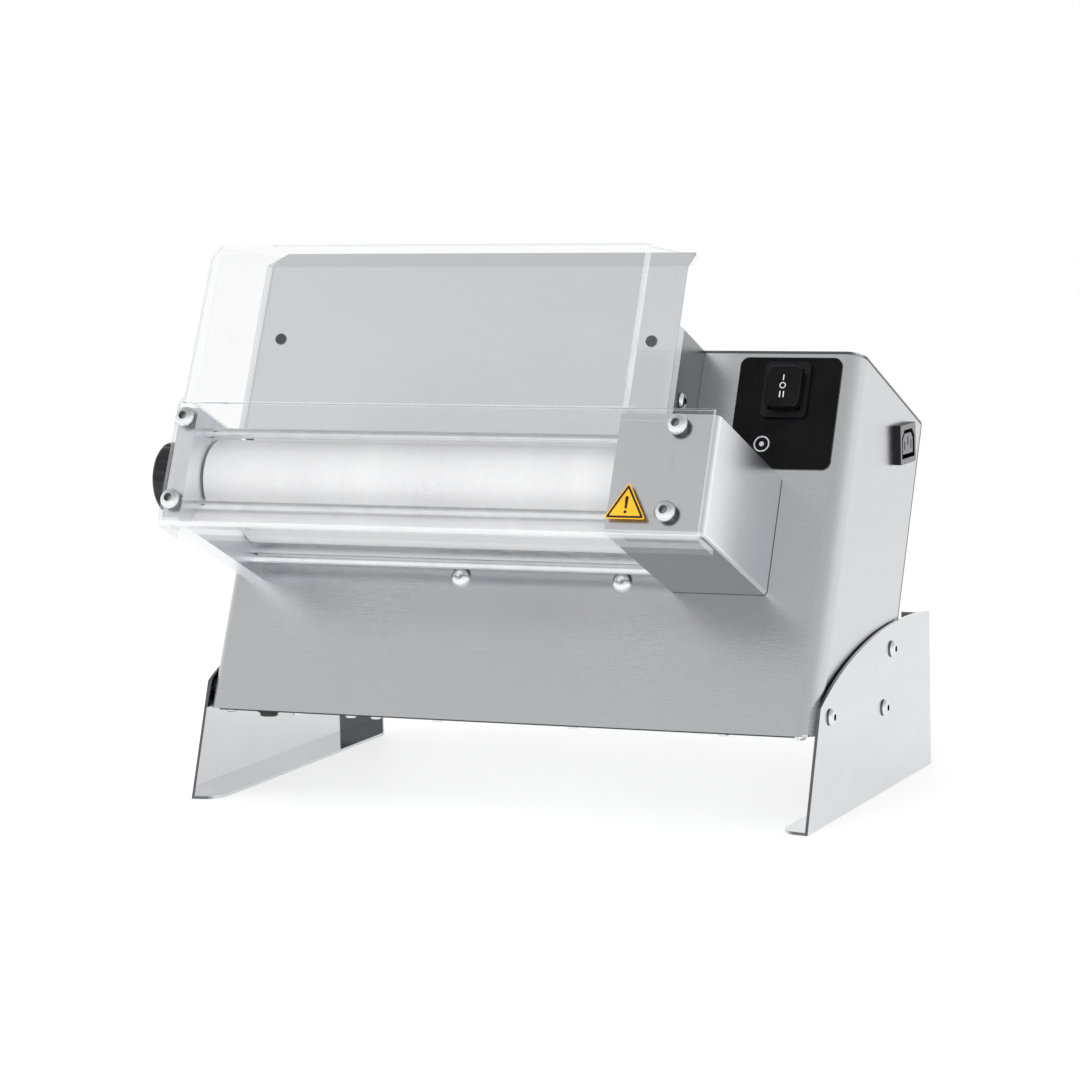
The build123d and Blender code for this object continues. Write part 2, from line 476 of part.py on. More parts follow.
# ---------------------------------------------------------------- guard
def front_sheet(lines):
    g = Plane(origin=(0, -FR_D, 0), x_dir=(1, 0, 0), z_dir=(0, -1, 0)) * extrude(make_face(lines), PLEX)
    return g
def guard_front():
    """Lower sheet, folded back under the rollers."""
    x0, x1 = -211.2, 173.0
    g = front_sheet([Line((x0, 90.3), (x0, SHOULDER)), Line((x0, SHOULDER), (x1, SHOULDER)),
                     Line((x1, SHOULDER), (x1, 90.3)), Line((x1, 90.3), (x0, 90.3))])
    g = chamfer(g.edges().filter_by(Axis.X).group_by(Axis.Z)[-1], 0.35)
    g += box(x0, x1, -FR_D - 0.1, -100.0, 90.3, 90.3 + PLEX - 0.2)
    bend_in = [e for e in g.edges().filter_by(Axis.X) if abs(e.center().Y + FR_D) < 0.2 and abs(e.center().Z - 94.1) < 0.2]
    g = fillet(bend_in, 2.0)
    bend_out = [e for e in g.edges().filter_by(Axis.X) if abs(e.center().Y + FR_D + PLEX) < 0.2 and abs(e.center().Z - 90.3) < 0.2]
    g = fillet(bend_out, 6.0)
    for x in (-204.0, 149.5):
        for u in (108.6, 166.6):
            g -= cylw(4.3, x, -FR_D - PLEX - 1, -FR_D + 1, u)
    return g
def guard_upper():
    """Upper sheet, standing on the lower one and bonded to the wings."""
    ux0, ux1, ub = -207.6, 113.0, SHOULDER + 0.05
    g = front_sheet([
        Line((ux0 - 3.4, ub), (ux0, ub + 3.5)),
        Line((ux0, ub + 3.5), (ux0 + 1.6, 281.5)),
        Line((ux0 + 1.6, 281.5), (ux0 + 8.0, GUARD_TOP)),
        Line((ux0 + 8.0, GUARD_TOP), (ux1, GUARD_TOP)),
        Line((ux1, GUARD_TOP), (ux1, 224.0)),
        Spline([(ux1, 224.0), (110.6, 210.0), (109.5, 200.0), (111.6, 189.0), (119.5, ub)],
               tangents=[(0, -1), (0.6, -0.8)]),
        Line((119.5, ub), (ux0 - 3.4, ub)),
    ])
    low = g.edges().filter_by(Axis.X).group_by(Axis.Z)[0]
    return chamfer(low, 0.35)
guard = guard_front()
save("guard_front", LEANF, guard)
save("guard_upper", LEANF, guard_upper())
wing_pts = [(-FR_D, SHOULDER + 1.2), (-FR_D, 289.6), (-43.6, 316.4), (HOP_W - 2.6, 305.6), (HOP_W - 2.6, SHOULDER + 1.2)]
save("guard_right_wing", LEANF, plate(wing_pts, 108.8, 112.8))
save("guard_left_wing", LEANF, plate(wing_pts, -205.6, -201.6))
save("guard_screws", LEANF, [toward_front(button(14.0, 4.4, 6.7, 15.6, 5.0, 2.6), x, -FR_D - PLEX, u) for x in (-204.0, 149.5) for u in (108.6, 166.6)])

# ---------------------------------------------------------------- hopper plate
hp = sheet([(-206.6, 181.0), (-193.5, 181.0), (-193.5, 159.5), (103.0, 159.5), (103.0, 181.0), (108.2, 181.0),
            (108.2, 306.0), (-206.6, 306.0)], HOP_W - SHEET, HOP_W)
lip = box(-206.6, 108.2, -SHEET, 0, -0.5, 17.6)
lip = lip - Pos(-206.6, 0, 17.6) * Rot(0, 0, 0) * plate([(-5, 0), (5, 0), (5, 1), (-5, 1)], -1, 1)
lip_cut = extrude(make_face(Polyline((-210, 3), (-206.6, 3), (-197.4, 17.6), (-197.4, 22), (-210, 22), close=True)), 10)
lip -= Plane(origin=(0, 5, 0), x_dir=(1, 0, 0), z_dir=(0, -1, 0)) * lip_cut
lip = Pos(0, HOP_W, 305.6) * Rot(-38, 0, 0) * lip
hp += lip
# side flanges reach back to the body
for x0, x1 in ((106.7, 108.2), (-206.6, -205.1)):
    hp += box(x0, x1, HOP_W - SHEET, -0.4, 182.0, 264.6)
hp -= cylw(3.0, -186.1, HOP_W - 5, HOP_W + 5, 252.5)
hp -= cylw(3.0, 90.0, HOP_W - 5, HOP_W + 5, 252.5)
hp -= box(-203.0, -193.6, HOP_W - 5, HOP_W + 5, 176.0, 184.0)
for u in (218.1, ):
    hp -= cylx(3.2, -230, 230, -30.0, u)
save("hopper_plate", LEANF, hp)
# dark plugs in the two free holes
plug = Pos(0, 0, 0.45) * Cylinder(3.9, 0.9) + Pos(0, 0, -1.4) * Cylinder(2.95, 2.9) + Pos(0, 0, -2.4) * Cone(2.6, 3.3, 1.0)
save("hopper_plugs", LEANF, [toward_front(plug, x, HOP_W - SHEET, 252.5) for x in (-186.1, 90.0)])
# brackets: angles on the front panel, inside the hopper flanges
brs = []
for s, xf in ((1, 106.7), (-1, -205.1)):
    a = box(xf, xf - s * 2.0, -42.0, 0, 200, 256)
    b = box(xf, xf - s * 22.0, -2.0, 0, 200, 256)
    ang = a + b - cylx(3.2, xf - 10, xf + 10, -30.0, 218.1)
    xb = 92.0 if s > 0 else -192.0
    for u in (205.0, 250.0):
        ang -= cylw(2.6, xb, -5, 5, u)
    brs.append(ang)
save("hopper_brackets", LEANF, brs)
hs = []
for s, xf in ((1, 108.2), (-1, -206.6)):
    f = toward_right if s > 0 else toward_left
    hs.append(f(button(11.4, 3.3, 5.9, 9.0, 4.0, 1.9), xf, -30.0, 218.1))
    hs.append(Pos(xf - s * 8.6 if s > 0 else xf + 3.6, -30.0, 218.1) * Rot(0, 90, 0) * (hexagon(10.0, 5.0) - Cylinder(3.0, 30)))
save("hopper_screws", LEANF, hs)
bs = []
for x in (92.0, -192.0):
    for u in (205.0, 250.0):
        bs.append(toward_front(pan(8.0, 2.8, 5.0, 8.0), x, -2.0, u))
save("bracket_pan_screws", LEANF, bs)

# ---------------------------------------------------------------- controls
cp = extrude(rounded_rect_face(135.7, 207.3, 181.8, 260.3, 6.0), 1.2)
cp = Plane(origin=(0, 0, 0), x_dir=(1, 0, 0), z_dir=(0, -1, 0)) * cp
cp -= box(158.0, 184.0, -5, 5, 221, 252)
save("control_panel", LEANF, cp)
SW_X, SW_U = 171.0, 236.6
RK_X, RK_U = 171.9, 236.0
bz = extrude(rounded_rect_face(SW_X - 16, SW_X + 16, SW_U - 19.6, SW_U + 19.6, 4.0), 3.2)
bz = Plane(origin=(0, -1.2, 0), x_dir=(1, 0, 0), z_dir=(0, -1, 0)) * bz
bz += box(SW_X - 12.8, SW_X + 12.8, -2, 30, SW_U - 15.3, SW_U + 15.3)
bz -= box(SW_X - 13.0 + 1.5, SW_X + 13.0 - 1.5, -10, 14, SW_U - 16.2 + 1.7, SW_U + 16.2 - 1.7)
for s in (-1, 0, 1):
    bz += box(SW_X - 3.2, SW_X + 3.2, 29.5, 37.0, SW_U + s * 10 - 0.4, SW_U + s * 10 + 0.4)
save("switch_body", LEANF, bz)
# rocker: a domed paddle on a cross pin
cap_ = box(RK_X - 12.1, RK_X + 12.1, -13.2, -7.4, RK_U - 14.8, RK_U + 14.8)
cap_ = fillet(cap_.edges().filter_by(Axis.Y), 5.2)
front_edges = cap_.edges().group_by(Axis.Y)[0]
cap_ = fillet(front_edges, 2.0)
neck = box(SW_X - 10.9, SW_X + 10.9, -7.8, 3.0, SW_U - 11.5, SW_U + 11.5)
rk = cap_ + neck
rk -= cylx(2.05, 0, 300, -2.0, SW_U)
save("switch_rocker", LEANF, rk)
save("rocker_pin", LEANF, cylx(2.0, SW_X - 11.5, SW_X + 11.5, -2.0, SW_U))

# outlet on the right wall, level with the bench
ofl = box(0, 5.0, -17.0, 17.0, -13.6, 13.6)
ofl = fillet(ofl.edges().filter_by(Axis.X), 1.6)
ofl = fillet(ofl.edges().group_by(Axis.X)[-1], 0.5) + box(-16, 0.5, -15.5, 15.5, -11.5, 11.5)
rec = extrude(make_face(Polyline((-14.0, -9.8), (14.0, -9.8), (14.0, 4.4), (8.6, 9.8), (-8.6, 9.8), (-14.0, 4.4), close=True)), 30)
core = extrude(make_face(Polyline((-10.9, -6.8), (10.9, -6.8), (10.9, 3.2), (6.9, 7.2), (-6.9, 7.2), (-10.9, 3.2), close=True)), 15.8)
ofl -= Pos(-11.0, 0, 0) * (YZ * rec)
core = Pos(-11.2, 0, 0) * (YZ * core)
ofl += core
for y, z in ((-7.0, -1.0), (7.0, -1.0), (0.0, 1.8)):
    ofl -= box(-9, 10, y - 0.9, y + 0.9, z - 3.0, z + 3.0)
for y, z in ((-7.0, -1.0), (7.0, -1.0), (0.0, 1.8)):
    ofl -= box(-23.0, -1.9, y - 0.75, y + 0.75, z - 2.45, z + 2.45)
OUTF = Pos(OX + XW, OUT_Y + OY, OUT_Z)
save("outlet_body", OUTF, ofl)
cont = [box(-22.0, -2.0, y - 0.7, y + 0.7, z - 2.4, z + 2.4) for y, z in ((-7.0, -1.0), (7.0, -1.0), (0.0, 1.8))]
save("outlet_contacts", OUTF, cont)

# triangular sign on the guard
tri = extrude(make_face(Polyline((108.2, 102.8), (137.0, 102.8), (122.6, 127.4), close=True)), 0.25)
save("sign_plate", LEANF, Plane(origin=(0, -FR_D - PLEX, 0), x_dir=(1, 0, 0), z_dir=(0, -1, 0)) * tri)
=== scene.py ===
import math
import bmesh
import bpy
from mathutils import Matrix, Vector


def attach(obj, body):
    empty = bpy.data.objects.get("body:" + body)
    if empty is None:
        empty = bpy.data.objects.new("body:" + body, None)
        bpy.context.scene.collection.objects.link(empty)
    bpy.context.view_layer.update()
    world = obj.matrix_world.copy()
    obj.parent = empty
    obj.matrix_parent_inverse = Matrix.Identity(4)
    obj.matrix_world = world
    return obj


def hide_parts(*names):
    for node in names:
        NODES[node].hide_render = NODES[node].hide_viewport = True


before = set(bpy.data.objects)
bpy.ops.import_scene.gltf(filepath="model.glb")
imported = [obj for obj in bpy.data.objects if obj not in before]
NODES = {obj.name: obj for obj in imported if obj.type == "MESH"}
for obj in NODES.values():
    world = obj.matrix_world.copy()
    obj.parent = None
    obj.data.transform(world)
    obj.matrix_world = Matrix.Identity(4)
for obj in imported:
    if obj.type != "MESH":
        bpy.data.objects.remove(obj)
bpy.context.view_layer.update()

# ------------------------------------------------------------------ frames
LEAN = math.radians(24.8)
SN, CS = math.sin(LEAN), math.cos(LEAN)
OX, FY, FZ = 4.6, 23.2 - 102.85, 59.65


def P(x, w, u):
    """Millimetres along the machine, behind the front face and up it -> row frame, metres."""
    return Vector(((x + OX) / 1000, (FY + u * SN + w * CS) / 1000, (FZ + u * CS - w * SN) / 1000))


EX, EW, EU = Vector((1, 0, 0)), Vector((0, CS, -SN)), Vector((0, SN, CS))

# ------------------------------------------------------------------ camera
scene = bpy.context.scene
cam_data = bpy.data.cameras.new("cam")
cam = bpy.data.objects.new("cam", cam_data)
scene.collection.objects.link(cam)
cam_data.sensor_width = 36.0
cam_data.lens = 3733.04 / 1080 * 36.0
cam_data.clip_start, cam_data.clip_end = 0.05, 60
AZ, EL, ROLL = math.radians(23.36), math.radians(7.0), math.radians(-1.37)
back = Vector((math.sin(AZ) * math.cos(EL), -math.cos(AZ) * math.cos(EL), math.sin(EL)))
right = Vector((math.cos(AZ), math.sin(AZ), 0))
up = right.cross(-back)
r2 = right * math.cos(ROLL) + up * math.sin(ROLL)
u2 = -right * math.sin(ROLL) + up * math.cos(ROLL)
cam.matrix_world = Matrix((
    (r2.x, u2.x, back.x, 1.00629), (r2.y, u2.y, back.y, -2.32605),
    (r2.z, u2.z, back.z, 0.4835), (0, 0, 0, 1)))
scene.camera = cam

# ------------------------------------------------------------------ stage and light
scene.view_settings.view_transform = "Standard"
scene.view_settings.look = "None"

world = bpy.data.worlds.new("studio")
scene.world = world
world.use_nodes = True
wt = world.node_tree
wt.nodes.clear()
w_out = wt.nodes.new("ShaderNodeOutputWorld")
w_bg = wt.nodes.new("ShaderNodeBackground")
w_tc = wt.nodes.new("ShaderNodeTexCoord")
w_sep = wt.nodes.new("ShaderNodeSeparateXYZ")
w_ramp = wt.nodes.new("ShaderNodeValToRGB")
wt.links.new(w_tc.outputs["Generated"], w_sep.inputs[0])
wt.links.new(w_sep.outputs["Z"], w_ramp.inputs[0])
w_side = wt.nodes.new("ShaderNodeMapRange")
w_side.inputs["From Min"].default_value, w_side.inputs["From Max"].default_value = -0.52, -0.26
w_side.inputs["To Min"].default_value, w_side.inputs["To Max"].default_value = 1.0, 0.0
wt.links.new(w_sep.outputs["X"], w_side.inputs["Value"])
w_high = wt.nodes.new("ShaderNodeMapRange")
w_high.inputs["From Min"].default_value, w_high.inputs["From Max"].default_value = 0.30, 0.50
w_high.inputs["To Min"].default_value, w_high.inputs["To Max"].default_value = 0.0, 0.05
wt.links.new(w_sep.outputs["Z"], w_high.inputs["Value"])
w_mul = wt.nodes.new("ShaderNodeMath")
w_mul.operation = "MULTIPLY"
wt.links.new(w_side.outputs[0], w_mul.inputs[0])
wt.links.new(w_high.outputs[0], w_mul.inputs[1])
w_add = wt.nodes.new("ShaderNodeVectorMath")
w_add.operation = "ADD"
wt.links.new(w_ramp.outputs[0], w_add.inputs[0])
wt.links.new(w_mul.outputs[0], w_add.inputs[1])
wt.links.new(w_add.outputs[0], w_bg.inputs[0])
wt.links.new(w_bg.outputs[0], w_out.inputs[0])
w_bg.inputs[1].default_value = 1.0
cr = w_ramp.color_ramp
cr.elements[0].position, cr.elements[0].color = 0.0, (1.0, 1.0, 1.0, 1)
cr.elements[1].position, cr.elements[1].color = 1.0, (0.46, 0.46, 0.47, 1)
for pos, v in ((0.24, 1.0), (0.42, 0.76), (0.60, 0.655), (0.85, 0.50)):
    e = cr.elements.new(pos)
    e.color = (v, v, v * 1.01, 1)


def area(name, loc, target, size, energy, colour=(1, 1, 1)):
    d = bpy.data.lights.new(name, "AREA")
    d.shape = "RECTANGLE"
    d.size, d.size_y = size
    d.energy = energy
    d.color = colour
    o = bpy.data.objects.new(name, d)
    scene.collection.objects.link(o)
    o.location = loc
    o.rotation_mode = "QUATERNION"
    o.rotation_quaternion = (Vector(target) - Vector(loc)).to_track_quat("-Z", "Y")
    o.visible_glossy = False
    return o


area("key_top", (-0.3, -0.6, 2.4), (0, 0, 0.2), (2.2, 1.6), 12)
area("front_soft", (0.5, -2.6, 0.9), (0, 0, 0.2), (2.0, 1.2), 26)
area("left_soft", (-2.2, -0.9, 0.9), (0, 0, 0.2), (1.2, 1.6), 8)


def floor_piece():
    m = bpy.data.meshes.new("floor")
    bm = bmesh.new()
    n, s = 24, 7.0
    bmesh.ops.create_grid(bm, x_segments=n, y_segments=n, size=s)
    bm.to_mesh(m)
    bm.free()
    o = bpy.data.objects.new("floor", m)
    scene.collection.objects.link(o)
    o.location = (0, 0, -0.0002)
    return o


floor = floor_piece()

# ------------------------------------------------------------------ material tools


class Mat:
    """Small helper round one Principled node."""

    def __init__(self, name, **values):
        self.m = bpy.data.materials.new(name)
        self.m.use_nodes = True
        self.t = self.m.node_tree
        self.t.nodes.clear()
        self.out = self.t.nodes.new("ShaderNodeOutputMaterial")
        self.p = self.t.nodes.new("ShaderNodeBsdfPrincipled")
        self.link(self.p.outputs[0], self.out.inputs[0])
        for k, v in values.items():
            self.p.inputs[k.replace("_", " ")].default_value = v
        self.tc = self.node("ShaderNodeTexCoord")

    def node(self, kind, **props):
        n = self.t.nodes.new(kind)
        for k, v in props.items():
            setattr(n, k, v)
        return n

    def link(self, a, b):
        self.t.links.new(a, b)

    def lean(self, scale=(1, 1, 1)):
        """Object coordinates turned so that x, y, z run along, behind and up the leaning face."""
        mp = self.node("ShaderNodeMapping")
        mp.vector_type = "POINT"
        mp.inputs["Rotation"].default_value = (LEAN, 0, 0)
        self.link(self.tc.outputs["Object"], mp.inputs[0])
        m2 = self.node("ShaderNodeMapping")
        m2.inputs["Scale"].default_value = scale
        self.link(mp.outputs[0], m2.inputs[0])
        return m2.outputs[0]

    def flat(self, scale=(1, 1, 1), rot=(0, 0, 0)):
        mp = self.node("ShaderNodeMapping")
        mp.inputs["Rotation"].default_value = rot
        mp.inputs["Scale"].default_value = scale
        self.link(self.tc.outputs["Object"], mp.inputs[0])
        return mp.outputs[0]

    def noise(self, vec, scale, detail=3.0, rough=0.55, distort=0.0):
        n = self.node("ShaderNodeTexNoise")
        n.inputs["Scale"].default_value = scale
        n.inputs["Detail"].default_value = detail
        n.inputs["Roughness"].default_value = rough
        n.inputs["Distortion"].default_value = distort
        self.link(vec, n.inputs["Vector"])
        return n.outputs["Fac"]

    def remap(self, fac, a, b, lo, hi):
        n = self.node("ShaderNodeMapRange")
        n.inputs["From Min"].default_value = a
        n.inputs["From Max"].default_value = b
        n.inputs["To Min"].default_value = lo
        n.inputs["To Max"].default_value = hi
        self.link(fac, n.inputs["Value"])
        return n.outputs[0]

    def math(self, op, a, b):
        n = self.node("ShaderNodeMath", operation=op)
        for i, v in enumerate((a, b)):
            if isinstance(v, (int, float)):
                n.inputs[i].default_value = v
            else:
                self.link(v, n.inputs[i])
        return n.outputs[0]

    def ramp(self, fac, *stops):
        n = self.node("ShaderNodeValToRGB")
        r = n.color_ramp
        r.elements[0].position, r.elements[0].color = stops[0][0], (*stops[0][1], 1)
        r.elements[1].position, r.elements[1].color = stops[-1][0], (*stops[-1][1], 1)
        for p, c in stops[1:-1]:
            e = r.elements.new(p)
            e.color = (*c, 1)
        self.link(fac, n.inputs[0])
        return n.outputs[0]

    def facing(self, axis, lo, hi, both=False):
        """1 where the surface faces the given direction, 0 elsewhere."""
        geo = self.node("ShaderNodeNewGeometry")
        dot = self.node("ShaderNodeVectorMath", operation="DOT_PRODUCT")
        self.link(geo.outputs["True Normal"], dot.inputs[0])
        dot.inputs[1].default_value = tuple(axis)
        v = self.math("ABSOLUTE", dot.outputs["Value"], 0.0) if both else dot.outputs["Value"]
        return self.remap(v, lo, hi, 0.0, 1.0)

    def paint_light_shade(self, colour, mask, factor):
        """Scales a colour by factor where mask is 1: paints light or shade onto the masked faces."""
        k = self.remap(mask, 0.0, 1.0, 1.0, factor)
        n = self.node("ShaderNodeVectorMath", operation="SCALE")
        self.link(colour, n.inputs[0])
        self.link(k, n.inputs["Scale"])
        return n.outputs[0]

    def plane_normal(self):
        """The shading normal, made exact on flat sides so that they reflect like planes."""
        geo = self.node("ShaderNodeNewGeometry")
        face = None
        for axis in (EX, EW, EU, (0, 0, 1)):
            f = self.facing(axis, 0.9990, 0.9998, True)
            face = f if face is None else self.math("MAXIMUM", face, f)
        parts = []
        for out, k in ((geo.outputs["True Normal"], face), (geo.outputs["Normal"], self.math("SUBTRACT", 1.0, face))):
            n = self.node("ShaderNodeVectorMath", operation="SCALE")
            self.link(out, n.inputs[0])
            self.link(k, n.inputs["Scale"])
            parts.append(n.outputs[0])
        add = self.node("ShaderNodeVectorMath", operation="ADD")
        self.link(parts[0], add.inputs[0])
        self.link(parts[1], add.inputs[1])
        return add.outputs[0]

    def bump(self, height, strength, distance):
        n = self.node("ShaderNodeBump")
        n.inputs["Strength"].default_value = strength
        n.inputs["Distance"].default_value = distance
        self.link(height, n.inputs["Height"])
        self.link(self.plane_normal(), n.inputs["Normal"])
        self.link(n.outputs[0], self.p.inputs["Normal"])

    def set(self, socket, out):
        self.link(out, self.p.inputs[socket])


def g(v, k=1.0):
    """A grey with a faint cool cast."""
    return (v * (1 - 0.012 * k), v * (1 - 0.006 * k), v * (1 + 0.02 * k))


def brushed(name, vec_scale, lo, hi, r_lo, r_hi, leaning=True, bump=0.10, rot=(0, 0, 0), painted_light_tones=()):
    """Sheet metal with a fine straight grain, faint clouding and a few long scratches, and light or shade painted on
    the sides that face given directions.
    """
    m = Mat(name, Metallic=1.0)
    vec = m.lean(vec_scale) if leaning else m.flat(vec_scale, rot)
    fine = m.noise(vec, 1.0, 2.0, 0.6)
    cloud = m.noise(m.flat((1, 1, 1)), 9.0, 2.0, 0.5)
    scratch_v = m.lean(tuple(s * 0.35 for s in vec_scale)) if leaning else m.flat(tuple(s * 0.35 for s in vec_scale), rot)
    scratch = m.noise(scratch_v, 1.0, 1.0, 0.4)
    both = m.math("ADD", m.math("MULTIPLY", fine, 0.6), m.math("MULTIPLY", cloud, 0.4))
    colour = m.ramp(both, (0.34, g(lo)), (0.5, g((lo + hi) / 2)), (0.66, g(hi)))
    # painted light and shade: each entry darkens or lightens the faces turned towards its direction
    for axis, a, b, two_sided, factor in painted_light_tones:
        colour = m.paint_light_shade(colour, m.facing(axis, a, b, two_sided), factor)
    m.set("Base Color", colour)
    rr = m.math("ADD", m.math("MULTIPLY", cloud, 0.55), m.math("MULTIPLY", fine, 0.45))
    m.set("Roughness", m.remap(rr, 0.38, 0.62, r_lo, r_hi))
    m.bump(m.math("ADD", fine, m.math("MULTIPLY", scratch, 0.5)), bump, 0.00003)
    return m.m


def polished(name, lo, hi, r_lo, r_hi, scale=26.0, painted_dark_edges=1.0, socket_shade_axis=None):
    """Mirror-finished steel with faint smears; it can also paint its edges dark and paint shade on a screw's head and
    in its socket.
    """
    m = Mat(name, Metallic=1.0)
    smear = m.noise(m.flat((1, 0.35, 1)), scale, 3.0, 0.6, 0.4)
    fine = m.noise(m.flat((90, 1200, 1200)), 1.0, 2.0, 0.5)
    colour = m.ramp(smear, (0.3, g(lo)), (0.7, g(hi)))
    # painted dark edges: faces facing neither sideways along x nor up or down are darkened, a painted dark reflection
    # along the sheet's edges
    if painted_dark_edges < 1.0:
        across = m.math("SUBTRACT", 1.0, m.facing(EX, 0.4, 0.7, True))
        level = m.math("SUBTRACT", 1.0, m.facing((0, 0, 1), 0.92, 0.98, True))
        colour = m.paint_light_shade(colour, m.math("MULTIPLY", across, level), painted_dark_edges)
    # painted shade on screws: faces square to the axis are scaled by 0.42, and faces running along the axis, the
    # socket's walls among them, by 0.22
    if socket_shade_axis is not None:
        colour = m.paint_light_shade(colour, m.facing(socket_shade_axis, 0.985, 0.999, True), 0.42)
        colour = m.paint_light_shade(colour, m.math("SUBTRACT", 1.0, m.facing(socket_shade_axis, 0.03, 0.12, True)), 0.22)
    m.set("Base Color", colour)
    m.set("Roughness", m.remap(m.math("ADD", m.math("MULTIPLY", smear, 0.7), m.math("MULTIPLY", fine, 0.3)), 0.35, 0.65, r_lo, r_hi))
    m.bump(m.noise(m.flat((1, 1, 1)), 7.0, 1.0, 0.4), 0.05, 0.0004)
    return m.m


def turned(name, colour, r_lo, r_hi, rings=1500.0):
    """Metal turned on a lathe along the machine: fine rings and slight stain."""
    m = Mat(name, Metallic=1.0)
    ring = m.noise(m.flat((rings, 6, 6)), 1.0, 2.0, 0.5)
    stain = m.noise(m.flat((1, 1, 1)), 60.0, 3.0, 0.6)
    c = colour
    m.set("Base Color", m.ramp(stain, (0.3, tuple(x * 0.82 for x in c)), (0.7, c)))
    m.set("Roughness", m.remap(ring, 0.35, 0.65, r_lo, r_hi))
    m.bump(ring, 0.10, 0.00004)
    return m.m


def moulded(name, colour, r_lo, r_hi, grain=1800.0, bump=0.12, **values):
    """Moulded or satin plastic: fine grain, faint dust and rubbed variation in gloss."""
    m = Mat(name, **values)
    grain_n = m.noise(m.flat((1, 1, 1)), grain, 2.0, 0.5)
    wear = m.noise(m.flat((1, 1, 1)), 45.0, 4.0, 0.6)
    c = colour
    m.set("Base Color", m.ramp(wear, (0.32, tuple(x * 0.86 for x in c)), (0.68, tuple(min(1, x * 1.12 + 0.002) for x in c))))
    m.set("Roughness", m.remap(wear, 0.3, 0.7, r_lo, r_hi))
    m.bump(grain_n, bump, 0.00006)
    return m.m


# grain runs along x on the leaning sheets
STEEL = brushed("steel_brushed", (30, 1500, 1500), 0.63, 0.65, 0.25, 0.285, bump=0.004)
# rear cover: its sides facing x and its faces turned to the front are painted dark, as painted shade along the
# cover's edges
STEEL_TOP = brushed("steel_top", (30, 1500, 1500), 0.625, 0.655, 0.25, 0.29, bump=0.010,
                    painted_light_tones=((EX, 0.8, 0.95, True, 0.22), (-EW, 0.8, 0.95, False, 0.25)))
# gear cover: its underside is painted dark as painted shade, and its side facing +x is painted lighter as painted
# light
STEEL_COVER = brushed("steel_cover", (30, 1500, 1500), 0.72, 0.75, 0.22, 0.27, bump=0.010,
                      painted_light_tones=((-EU, 0.8, 0.95, False, 0.34), (EX, 0.8, 0.95, False, 1.22)))
# hopper: a lighter copy of the body's brushed steel, painted light, with its flanges facing x painted dark as painted
# shade
STEEL_HOPPER = brushed("steel_hopper", (30, 1500, 1500), 0.90, 0.93, 0.28, 0.34, bump=0.010,
                       painted_light_tones=((EX, 0.8, 0.95, True, 0.33),))
# legs: edges and faces facing neither sideways nor up or down are painted dark, scaled by 0.25, as a painted dark
# reflection
LEG = polished("steel_leg", 0.66, 0.70, 0.035, 0.08, painted_dark_edges=0.25)
ROD = polished("steel_rod", 0.72, 0.80, 0.06, 0.13, 80.0)
CHROME = polished("chrome_screw", 0.80, 0.88, 0.05, 0.12, 300.0)
# screw heads: flat faces and socket walls painted darker, as painted shade
SCREW_W = polished("screw_front", 0.78, 0.86, 0.10, 0.18, 300.0, socket_shade_axis=EW)
SCREW_X = polished("screw_side", 0.78, 0.86, 0.10, 0.18, 300.0, socket_shade_axis=EX)
ALU = brushed("aluminium", (2600, 120, 120), 0.90, 0.94, 0.30, 0.38, bump=0.012)
ALU_CAST = brushed("aluminium_cast", (700, 700, 700), 0.52, 0.66, 0.42, 0.55, leaning=False, bump=0.35)
MACHINED = turned("steel_machined", (0.55, 0.55, 0.56), 0.18, 0.34)
BRONZE = turned("bronze_bush", (0.72, 0.46, 0.22), 0.22, 0.38)
SCRAPER = brushed("steel_scraper", (60, 2200, 2200), 0.62, 0.68, 0.25, 0.34, bump=0.02)
BLACK = moulded("black_satin", (0.006, 0.006, 0.007), 0.30, 0.42, Specular_IOR_Level=0.22)
PANEL = moulded("black_panel", (0.004, 0.004, 0.0045), 0.16, 0.26, grain=3200, bump=0.03, Specular_IOR_Level=0.10)
ROCKER = moulded("black_rocker", (0.004, 0.004, 0.0045), 0.14, 0.24, grain=2600, bump=0.03, Specular_IOR_Level=0.15)
KNOB = moulded("black_knob", (0.008, 0.008, 0.009), 0.10, 0.20, grain=1500, bump=0.04, Specular_IOR_Level=0.40)
OUTLET_GREY = moulded("grey_moulding", (0.24, 0.24, 0.25), 0.35, 0.5)
PAINT = moulded("motor_paint", (0.055, 0.075, 0.10), 0.35, 0.5, grain=900, bump=0.3)
ALU_CAN = turned("capacitor_can", (0.74, 0.74, 0.76), 0.2, 0.35, 700.0)
NYLON = moulded("nylon_dark", (0.02, 0.02, 0.022), 0.4, 0.55)


def outlet_material():
    """Black moulding whose outer face, the one towards +x, is coloured light grey with some patchiness."""
    m = Mat("outlet_moulding", Specular_IOR_Level=0.25)
    wear = m.noise(m.flat((1, 1, 1)), 90.0, 4.0, 0.6)
    sep = m.node("ShaderNodeSeparateXYZ")
    m.link(m.tc.outputs["Object"], sep.inputs[0])
    out = m.remap(sep.outputs["X"], 0.2262, 0.2272, 0.0, 1.0)
    mask = m.math("MULTIPLY", out, m.facing(EX, 0.85, 0.97))
    tone = m.math("MULTIPLY", mask, m.remap(wear, 0.3, 0.7, 0.85, 1.0))
    m.set("Base Color", m.ramp(tone, (0.0, (0.007, 0.007, 0.008)), (1.0, (0.27, 0.27, 0.28))))
    m.set("Roughness", m.remap(wear, 0.3, 0.7, 0.34, 0.46))
    m.bump(m.noise(m.flat((1, 1, 1)), 2600.0, 2.0, 0.5), 0.06, 0.00005)
    return m.m


OUTLET = outlet_material()


